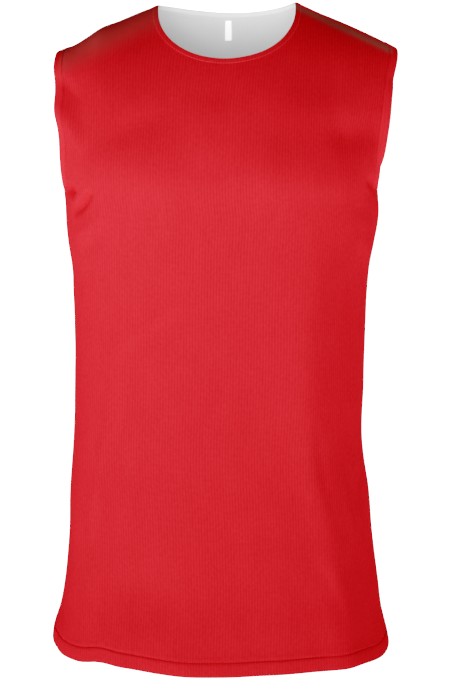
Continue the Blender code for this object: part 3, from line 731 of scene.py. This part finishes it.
# %% Make the four panels
def rim_share(edges, body):
    """Share of the wall's thickness: a round rim at an open edge, a shallow dip at a seam."""
    def closing(distance):
        return np.sqrt(1 - (1 - np.clip(distance / (CLOTH / 2), 0, 1)) ** 2)
    free = np.minimum.reduce([edges.neck, edges.arm, edges.hem])
    seam = np.minimum(edges.side, edges.shoulder)
    return np.minimum(np.maximum(closing(free), RIM_LEAST), np.maximum(closing(seam), SEAM_LEAST))


def make_cloth(panel, layer, fineness):
    side = -1 if panel == "front" else 1
    covered = (layer == "red") == (side > 0)        # by the other layer, at the neck's edge
    points, s, body = panel_layout(side, *fineness, neck_short=NECK_SHORT if covered else 0.0)
    normals = outward(points)
    calm_edges = edge_distances(points, s, body)
    to_seam = np.minimum(calm_edges.side, calm_edges.shoulder)
    rise = fold_rise(panel, row_lengths(points), points[..., 2], to_seam)
    points = points + normals * rise[..., None]
    part_at_seams(points, normals, s, body, SEAM_GAP[layer])
    edges = edge_distances(points, s, body)
    share = rim_share(edges, body)[..., None] * CLOTH / 2
    deep = SEAM_DIP * groove(np.minimum(edges.side, edges.shoulder), 0, 2 * STITCH_HALF)
    if layer == "white":
        beside_neck = 1 - ease((NECK_COLUMN - np.abs(s)) / ROLL_COLUMNS)
        free = np.where(np.abs(s) < NECK_COLUMN, beside_neck, 1) if side > 0 else 1
        inland = ease(np.minimum.reduce([edges.neck, edges.arm, edges.hem]) / ARM_TURN)
        deep = (CLOTH + LAYER_GAP) * np.maximum(free, ease((edges.neck - NECK_SHORT) / ROLL))
        deep += (INNER_GAP - LAYER_GAP) * inland
    middle = points - normals * (deep + CLOTH / 2)[..., None]
    outer = middle + normals * (share + (sewn_rise(edges)[..., None] if layer == "red" else 0.0))
    inner = middle - normals * (share + (lining_rise(edges)[..., None] if layer == "white" else 0.0))
    uv = cloth_map(points, normals)
    kept = {"neck": edges.neck, "arm": edges.arm, "hem": edges.hem,
            "seam": np.minimum(edges.side, edges.shoulder)}
    thing = wall_mesh(f"{panel}_{layer}", outer, inner, uv, kept, flip=side > 0)
    return thing, (outer, normals, edges)


RED_FINENESS = (115, 48, 44, 28)
WHITE_FINENESS = (90, 40, 36, 24)
front_red, front_grid = make_cloth("front", "red", RED_FINENESS)
back_red, back_grid = make_cloth("back", "red", RED_FINENESS)
front_white, _ = make_cloth("front", "white", WHITE_FINENESS)
back_white, _ = make_cloth("back", "white", WHITE_FINENESS)

# %% [markdown]
# ## The neck label
#
# A narrow satin ribbon is folded in half and sewn in under the turned edge of the back neck. It is left
# blank. Its path runs down behind, turns in a tight bend and comes up again in front, a little away
# from the lining, and the ribbon is a thin wall along that path.

# %% Make the label
LABEL_X = 0.0010
LABEL_HALF = 3.6 * MM
LABEL_TOP, LABEL_END = 0.0040, -0.0192
RIBBON = 0.35 * MM


def lining_face(x, z, lift):
    """Points on the inside of the white back panel, lifted off it by a distance into the hollow."""
    base = np.stack([x, depth(1, x, z), z], axis=-1)
    return base - outward(base) * (2 * CLOTH + LAYER_GAP + lift)[..., None]


def make_label():
    drop = np.concatenate([np.linspace(0, 1, 14), np.ones(5), np.linspace(1, 0, 14)])
    turn = np.concatenate([np.zeros(14), np.linspace(0, np.pi, 7)[1:-1], np.full(14, np.pi)])
    across = np.linspace(-1, 1, 13)
    x = LABEL_X + LABEL_HALF * across[None, :] + 0 * drop[:, None]
    hang = LABEL_TOP + (LABEL_END - LABEL_TOP) * drop - 0.45 * MM * np.sin(turn)
    z = hang[:, None] + 0.25 * MM * across[None, :] ** 2 * drop[:, None]
    lift = (0.45 + 0.45 * (1 - np.cos(turn)) + 0.5 * drop ** 3)[:, None] * MM
    lift = lift + 0.15 * MM * drop[:, None] * across[None, :] ** 2
    path = lining_face(x, z, lift)
    down, right = np.gradient(path, axis=0), np.gradient(path, axis=1)
    face = unit(np.cross(right, down))
    uv = np.stack([x, np.cumsum(np.linalg.norm(down, axis=-1), axis=0)], axis=-1)
    return wall_mesh("neck_label", path + face * RIBBON / 2, path - face * RIBBON / 2, uv, {}, flip=False)


label = make_label()

# %% [markdown]
# ## Rows of stitches
#
# A machine's topstitch is a dashed line: each stitch is a short piece of thread that comes out of the
# cloth and dives in again. The rows lie in the grooves, so their path is the line of points whose
# distance to the edge is the groove's. Each stitch is a spindle of six sides along that path.

# %% Make the stitches
THREAD = 0.26 * MM        # half the thickness of a thread
STITCH_STEP = 3.0 * MM
STITCH_SHARE = 0.80       # of the step that one stitch covers


def level_line(distance, level, *grids):
    """Where each column of the distances first passes a level, counted from the last row down."""
    near = distance[::-1]
    passed = np.argmax(near > level, axis=0)
    found = np.flatnonzero((near[0] < level) & (passed > 0))
    k = passed[found]
    before, after = near[k - 1, found], near[k, found]
    t = ((level - before) / (after - before))[:, None]
    return [grid[::-1][k - 1, found] * (1 - t) + grid[::-1][k, found] * t for grid in grids]


def stitch_points(path, normals):
    """Rings of a spindle for each stitch: its radius falls off and its middle dives at both ends."""
    reach = np.concatenate([[0], np.cumsum(np.linalg.norm(np.diff(path, axis=0), axis=-1))])
    count = max(int(reach[-1] / STITCH_STEP), 1)
    middle = (np.arange(count) + 0.5) * reach[-1] / count
    along = np.linspace(-1, 1, 6)
    place = middle[:, None] + along * STITCH_STEP * STITCH_SHARE / 2
    centre_line = np.stack([np.interp(place, reach, path[:, i]) for i in range(3)], axis=-1)
    up = unit(np.stack([np.interp(place, reach, normals[:, i]) for i in range(3)], axis=-1))
    tangent = unit(np.gradient(centre_line, axis=1))
    side = np.cross(tangent, up)
    radius = THREAD * np.sqrt(np.maximum(1 - along ** 4, 0.05))
    centre_line = centre_line + up * (THREAD * (0.5 - 1.1 * along ** 4))[None, :, None]
    angle = np.arange(6) * np.pi / 3
    ring = np.cos(angle)[:, None] * side[..., None, :] + np.sin(angle)[:, None] * up[..., None, :]
    return centre_line[..., None, :] + ring * radius[None, :, None, None]


def make_stitches(name, rows):
    """All the stitches of these rows as one mesh of closed spindles."""
    rings = np.concatenate([stitch_points(path, normals) for path, normals in rows])
    count, along, around = rings.shape[:3]
    number = np.arange(count * along * around).reshape(count, along, around)
    follow = np.roll(number, -1, axis=2)
    quads = np.stack([number[:, :-1], follow[:, :-1], follow[:, 1:], number[:, 1:]], axis=-1).reshape(-1, 4)
    faces = quads.tolist() + number[:, 0, ::-1].tolist() + number[:, -1].tolist()
    mesh = bpy.data.meshes.new(name)
    mesh.from_pydata(rings.reshape(-1, 3).tolist(), [], faces)
    mesh.shade_smooth()
    thing = bpy.data.objects.new(name, mesh)
    bpy.context.scene.collection.objects.link(thing)
    print(name, "stitches:", count)
    return thing


def seam_rows(panel_grid):
    """The stitched lines of one red panel: its neck, its two armholes and its hem."""
    outer, normals, edges = panel_grid
    hem = int(np.argmin(np.abs(HEM_STRIP - HEM_FOLD)))
    neck = level_line(edges.neck, NECK_TURN, outer, normals)
    arms = []
    for turned in (slice(None), slice(None, None, -1)):
        flat = [np.swapaxes(grid[:, turned], 0, 1)[::-1] for grid in (edges.arm, outer, normals)]
        arms.append(level_line(flat[0], ARM_TURN, *flat[1:]))
    return neck, arms, (outer[hem], normals[hem])


front_neck, front_arms, front_hem = seam_rows(front_grid)
back_neck, back_arms, back_hem = seam_rows(back_grid)
neck_stitches = make_stitches("neck_stitches", [front_neck, back_neck])
armhole_stitches = make_stitches("armhole_stitches", [*front_arms, *back_arms])
hem_stitches = make_stitches("hem_stitches", [front_hem, back_hem])

# %% [markdown]
# ## Finishes
#
# A finish is a small network of nodes. Written out node by node it would be long, so a small class
# wraps a socket: adding or multiplying two of them adds the Math node that does it.

# %% A socket that can be used in Python expressions
class Value:
    """A socket of a finish, or a number, that takes part in expressions."""

    def __init__(self, finish, socket):
        self.finish, self.socket = finish, socket

    def maths(self, operation, *values):
        return self.finish.node("Math", {"operation": operation}, dict(enumerate(values)))

    def __add__(self, other):
        return self.maths("ADD", self, other)

    __radd__ = __add__

    def __sub__(self, other):
        return self.maths("SUBTRACT", self, other)

    def __rsub__(self, other):
        return self.maths("SUBTRACT", other, self)

    def __mul__(self, other):
        return self.maths("MULTIPLY", self, other)

    __rmul__ = __mul__

    def __truediv__(self, other):
        return self.maths("DIVIDE", self, other)

    def sine(self):
        return self.maths("SINE", self)

    def bell(self, place, half):
        """1 at a place, fading to 0 on both sides: e to the minus square of the distance over half."""
        off = (self - place) / half
        return self.maths("POWER", float(np.e), 0.0 - off * off)

    def below(self, level, soft):
        """1 well below a level, 0 well above it, with a soft step."""
        return self.finish.node("MapRange", {"interpolation_type": "SMOOTHSTEP"}, {
            "Value": self, "From Min": level - soft, "From Max": level + soft,
            "To Min": 1.0, "To Max": 0.0})


class Finish:
    """A material with one Principled shader, and a helper that adds any other node."""

    def __init__(self, name, **constants):
        self.material = bpy.data.materials.new(name)
        self.material.use_nodes = True
        self.tree = self.material.node_tree
        self.shader = self.tree.nodes["Principled BSDF"]
        for key, value in constants.items():
            self.shader.inputs[key.replace("_", " ")].default_value = value

    def node(self, kind, settings=None, inputs=None, output=0):
        """Adds a node: its settings first, then the values or links of its sockets."""
        made = self.tree.nodes.new("ShaderNode" + kind)
        for key, value in (settings or {}).items():
            setattr(made, key, value)
        for key, value in (inputs or {}).items():
            if isinstance(value, Value):
                self.tree.links.new(value.socket, made.inputs[key])
            else:
                made.inputs[key].default_value = value
        return Value(self, made.outputs[output])

    def cloth(self):
        """u and v of the cloth, in millimetres."""
        flat = self.node("UVMap", {"uv_map": "cloth"})
        parts = [self.node("SeparateXYZ", None, {0: flat}, output) for output in (0, 1)]
        return [part * 1000.0 for part in parts], flat

    def attribute(self, name):
        """A distance kept with the mesh, in millimetres."""
        return self.node("Attribute", {"attribute_name": name}, None, 2) * 1000.0

    def noise(self, vector, scale, detail=2.0):
        """Soft noise from 0 to 1."""
        return self.node("TexNoise", {"noise_dimensions": "3D"},
                         {"Vector": vector, "Scale": scale, "Detail": detail, "Roughness": 0.5})

    def scaled(self, vector, factors):
        return self.node("VectorMath", {"operation": "MULTIPLY"}, {0: vector, 1: factors})

    def mixed(self, share, first, second):
        """A colour between two others."""
        return self.node("Mix", {"data_type": "RGBA"}, {0: share, 6: first, 7: second}, 2)

    def set(self, **links):
        for key, value in links.items():
            self.tree.links.new(value.socket, self.shader.inputs[key.replace("_", " ")])

    def bump(self, height, strength=1.0):
        """A normal from a height in millimetres."""
        return self.node("Bump", None, {"Strength": strength, "Distance": MM, "Height": height})


# %% [markdown]
# ## Knit cloth
#
# The cloth is a fine polyester interlock. Its loops stand in columns, the wales, and every second one
# lies a little deeper, so that the eye sees thin upright lines. Small dimples sit between them. The
# pattern is made of waves in the cloth's own millimetres: one wave across for the wales, a checked
# product of two waves for the dimples, and a slow noise that lets the lines come and go.

# %% The knit of both layers
WALE = 3.3                # mm between the deeper wales
LOOP = 1.65               # mm between neighbouring wales, and between dimples up the cloth
# They place the painted shade on the shoulders' tops.
TOP_HEIGHT, TOP_FALL = 59.0, 0.452    # mm where the shoulders' lines would meet, and their fall per mm


def knit(finish, dark, plain, lit, rise, contrast, turned, seams, painted_shoulder_shade_and_highlight=()):
    """Sets the colour, roughness and normal of a knit layer.

    turned lists the edges that are turned in, where the cloth is double, with how much lighter the colour
    is along each; along the armholes this lighter band is a painted highlight. seams lists the lines that
    sink in, each with its place, half breadth, depth and darkness, and that darkness is painted shade in
    the groove. The last argument lists colours painted on the shoulders' tops in place of light: painted
    shade on the -X side and on the +X side, and a painted highlight along the shoulder seams.
    """
    (u, v), flat = finish.cloth()
    sway = finish.noise(finish.scaled(flat, (9.0, 2.5, 1.0)), 3.0) * 1.2
    wave = (u * (2 * np.pi / WALE) + sway).sine()
    loops = (u * (2 * np.pi / LOOP)).sine() * (v * (2 * np.pi / LOOP)).sine()
    patches = finish.noise(flat, 14.0, 3.0)
    cloudy = finish.noise(finish.scaled(flat, (1.0, 0.45, 1.0)), 55.0, 3.0)
    lines = wave * (0.35 + patches) * 0.5
    grain = finish.noise(flat, 240.0, 3.0)
    share = 0.5 + contrast * (lines * 0.46 + loops * 0.20 + (cloudy - 0.5) * 0.40 + (grain - 0.5) * 0.90)
    # Lighter along the turned edges; along the armholes this lighter band is a painted highlight.
    for name, breadth, lighter in turned:
        share = share + finish.attribute(name).below(breadth, 0.8) * lighter
    colour = finish.mixed(share, dark, lit)
    height = rise * (lines * 0.6 + loops * 0.35 + (cloudy - 0.5) * 0.8 + (grain - 0.5) * 0.6)
    shade = 0.0
    # Each groove is darkened towards the plain colour: painted shade in the groove.
    for name, place, half, depth_there, darkness in seams:
        line = finish.attribute(name).bell(place, half) * (0.4 + patches)
        height = height - line * depth_there
        shade = line * darkness + shade
    colour = finish.mixed(shade, colour, plain)
    # Painted shade on the tops of the shoulders, and a painted highlight along the shoulder seams.
    if painted_shoulder_shade_and_highlight:
        place = finish.node("TexCoord", None, None, 3)
        x, y, z = [finish.node("SeparateXYZ", None, {0: place}, output) * 1000.0 for output in range(3)]
        drop = TOP_HEIGHT - x.maths("ABSOLUTE", x) * TOP_FALL - z    # mm below the line over the shoulders
        front = y.below(4.0, 8.0) * (1.0 - finish.attribute("arm").below(8.0, 4.0))
        # painted shade on the top of the -X shoulder
        colour = finish.mixed(drop.below(17.0, 20.0) * x.below(-60.0, 25.0) * front, colour, painted_shoulder_shade_and_highlight[0])
        left = 1.0 - x.below(62.0, 14.0)
        # painted shade in a band just under the ridge of the +X shoulder
        colour = finish.mixed(drop.bell(2.6, 4.4) * left * front, colour, painted_shoulder_shade_and_highlight[1])
        # painted highlight along the shoulder seams
        to_seam = finish.attribute("seam")
        ridge = to_seam.below(7.5, 2.0) + (to_seam.below(12.5, 2.0) - to_seam.below(7.5, 2.0)) * left
        colour = finish.mixed(ridge * drop.below(10.0, 5.0), colour, painted_shoulder_shade_and_highlight[2])
    finish.set(Base_Color=colour, Roughness=0.60 + (cloudy - 0.5) * 0.16, Normal=finish.bump(height))
    return finish.material


red_knit = knit(
    Finish("red_knit", Specular_IOR_Level=0.0),
    dark=(0.590, 0.0267, 0.0316, 1), plain=(0.330, 0.0130, 0.0160, 1), lit=(0.820, 0.0371, 0.0439, 1),
    # the lighter band along the armholes is a painted highlight
    rise=0.10, contrast=1.0, turned=(("neck", 5.9, 0.25), ("arm", 11.0, 0.45)),
    # the hem's and seams' grooves darken towards plain: painted shade
    seams=(("neck", 5.9, 0.5, 0.05, 0.0), ("arm", 11.0, 0.5, 0.05, 0.0), ("hem", 17.5, 0.7, 0.25, 0.25),
           ("seam", 0.0, 0.7, 0.3, 0.35)),
    # painted shade on the shoulders' tops, -X and +X, and a painted highlight along the shoulder seams
    painted_shoulder_shade_and_highlight=((0.540, 0.0820, 0.0760, 1), (0.370, 0.1050, 0.0880, 1), (1.0, 0.0550, 0.0700, 1)))
white_knit = knit(
    Finish("white_knit", Specular_IOR_Level=0.4),
    dark=(0.68, 0.68, 0.68, 1), plain=(0.56, 0.56, 0.56, 1), lit=(0.84, 0.84, 0.84, 1),
    rise=0.05, contrast=0.25, turned=(("neck", 5.9, 0.5),),
    # the seams' grooves darken towards plain: painted shade
    seams=(("neck", 5.9, 0.5, 0.03, 0.0), ("seam", 0.0, 0.7, 0.3, 0.2)))


# %% [markdown]
# ## Thread and ribbon
#
# Thread is a little glossier than the cloth, and twisted: a wave at an angle makes its twist. The
# ribbon is satin, whose long floats give it a soft shine along its length. It also glows a little, a
# painted light that keeps it brighter than the lining.

# %% The finishes of the small parts
def twisted(name, dark, lit):
    finish = Finish(name, Roughness=0.45, Specular_IOR_Level=0.4)
    place = finish.node("TexCoord", None, None, 3)
    parts = [finish.node("SeparateXYZ", None, {0: place}, output) for output in range(3)]
    twist = ((parts[0] + parts[1] + parts[2]) * (2 * np.pi / (0.45 * MM))).sine()
    finish.set(Base_Color=finish.mixed(0.5 + twist * 0.5, dark, lit), Normal=finish.bump(twist * 0.03))
    return finish.material


def satin(name, dark, lit):
    # The ribbon glows a little, a painted light that keeps it brighter than the lining around it.
    finish = Finish(name, Roughness=0.38, Specular_IOR_Level=0.5, Emission_Color=(1, 1, 1, 1),
                    Emission_Strength=0.8)
    (u, v), flat = finish.cloth()
    patches = finish.noise(finish.scaled(flat, (40.0, 6.0, 1.0)), 60.0)
    floats = (u * (2 * np.pi / 0.5)).sine() * 0.5 + patches - 0.5
    finish.set(Base_Color=finish.mixed(0.5 + floats * 0.5, dark, lit), Normal=finish.bump(floats * 0.02))
    return finish.material


red_thread = twisted("red_thread", (0.44, 0.0160, 0.0190, 1), (0.66, 0.0290, 0.0340, 1))
bright_thread = twisted("bright_thread", (0.78, 0.0450, 0.0520, 1), (0.92, 0.0750, 0.0850, 1))
label_satin = satin("label_satin", (0.93, 0.92, 0.91, 1), (0.98, 0.975, 0.965, 1))

# %% [markdown]
# ## What each piece stands for
#
# Every piece rides on the one body of the jersey, and each gets its finish. The four cloths and the label
# replace the frame's solids.

# %% Give each piece its finish and its body
PIECES = (
    (front_red, red_knit, "outer_knit", "front_outer", (0.520, 0.800), 0.346),
    (back_red, red_knit, "outer_knit", "back_outer", (0.570, 0.800), 0.351),
    (front_white, white_knit, "lining_knit", "front_lining", (0.515, 0.795), 0.341),
    (back_white, white_knit, "lining_knit", "back_lining", (0.565, 0.795), 0.346),
    (label, label_satin, "label_tape", "label", None, None),
)
for piece, finish, slot, node, flat, area in PIECES:
    piece.data.materials.append(finish)
    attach(piece, "root")
    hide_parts(node)
for piece, thread in ((neck_stitches, bright_thread), (armhole_stitches, red_thread),
                      (hem_stitches, red_thread)):
    piece.data.materials.append(thread)
    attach(piece, "root")

# %% [markdown]
# ## Studio
#
# The jersey stands over a bright white floor, which lights it softly from below; right under the jersey
# its light is dimmed, a painted shadow. Large soft lamps stand on the left and in front, and one stands
# high on the right. One more lamp lights only the lining and the label, by light linking. The ceiling is
# dark, so the tops of the shoulders are too, and painted shade on their colour darkens them further.

# %% Set the floor, the world and the lamps
FLOOR_Z = -0.76
FLOOR_HALF = 30.0
floor_mesh = bpy.data.meshes.new("floor")
corners = [(-1, -1), (1, -1), (1, 1), (-1, 1)]
floor_mesh.from_pydata([(x * FLOOR_HALF, y * FLOOR_HALF, 0) for x, y in corners], [], [(0, 1, 2, 3)])
floor = bpy.data.objects.new("floor", floor_mesh)
floor.location.z = FLOOR_Z
bpy.context.scene.collection.objects.link(floor)
floor.visible_glossy = False
floor.visible_camera = False
paper = Finish("paper", Base_Color=(0, 0, 0, 1), Roughness=1.0, Specular_IOR_Level=0.0,
               Emission_Color=(1, 1, 1, 1), Emission_Strength=1.46)
# The floor's light is dimmer within about 0.75 m of the middle, right under the jersey: a painted shadow.
reach = paper.node("VectorMath", {"operation": "LENGTH"}, {0: paper.node("TexCoord", None, None, 3)}, 1)
paper.set(Emission_Color=paper.mixed(reach.below(0.75, 0.5), (1, 1, 1, 1), (0.75, 0.75, 0.75, 1)))
floor_mesh.materials.append(paper.material)
floor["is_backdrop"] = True

world = bpy.data.worlds.new("world")
world.use_nodes = True
world.node_tree.nodes["Background"].inputs["Color"].default_value = (1, 1, 1, 1)
world.node_tree.nodes["Background"].inputs["Strength"].default_value = 3.0
world.cycles_visibility.diffuse = False
world.cycles_visibility.glossy = False
bpy.context.scene.world = world

# A camera's tones: dark ones are deepened, which makes colours fuller, and bright ones are held back.
TOE, TOE_POWER, SHOULDER, FULL = 0.0151, 3.83, 4.17, 2.5


def toned(tone):
    """x is the tone over FULL; its power rises towards zero, and bright tones follow x over (1 + s x)."""
    x = tone / FULL
    low = x ** TOE_POWER / (x ** (TOE_POWER - 1) + TOE ** (TOE_POWER - 1))
    return low * (1 + SHOULDER) / (1 + SHOULDER * low)


view = bpy.context.scene.view_settings
view.view_transform = "Standard"
view.use_curve_mapping = True
view.curve_mapping.extend = "EXTRAPOLATED"
curve = view.curve_mapping.curves[3]
curve.points[-1].location = (1.0, toned(1.0))
# the curve's points stand closer together where it bends most
TONES = (0.008, 0.012, 0.016, 0.020, 0.025, 0.030, 0.036, 0.043, 0.052, 0.065, 0.085, 0.12, 0.18, 0.27,
         0.40, 0.6, 0.8)
for tone in TONES:
    curve.points.new(tone, toned(tone))
view.curve_mapping.update()

Lamp = namedtuple("Lamp", "name place size watts kind")
LAMPS = (
    Lamp("front_left", (-0.8, -2.3, 0.1), 1.0, 12.0, "shape"),
    Lamp("low_left", (-1.4, -1.4, -0.25), 1.0, 8.5, "shape"),
    Lamp("high_right", (1.0, 0.9, 0.9), 1.0, 8.0, "shape"),
    Lamp("lining", (-0.05, -1.4, -0.2), 0.7, 20.5, "lining"),
)
AIM = {"shape": Vector((0, 0, -0.35)), "lining": Vector((0, 0.03, 0))}
inside = bpy.data.collections.new("inside")
for piece in (front_white, back_white, label):
    inside.objects.link(piece)
for lamp in LAMPS:
    light = bpy.data.lights.new(lamp.name, "AREA")
    light.energy = lamp.watts
    light.size = lamp.size
    thing = bpy.data.objects.new(lamp.name, light)
    thing.location = lamp.place
    thing.rotation_euler = (AIM[lamp.kind] - thing.location).to_track_quat("-Z", "Y").to_euler()
    if lamp.kind == "lining":
        thing.light_linking.receiver_collection = inside
    bpy.context.scene.collection.objects.link(thing)

# %% [markdown]
# ## Check the size and finish
#
# The dressed jersey has to stay inside its frame's box, so how far it grows past that box is printed.

# %% Finish
dressed_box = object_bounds()
grown = [[round(1e3 * (a - b), 1) for a, b in zip(x, y)] for x, y in zip(dressed_box, cad_box)]
print("grows by mm:", grown)
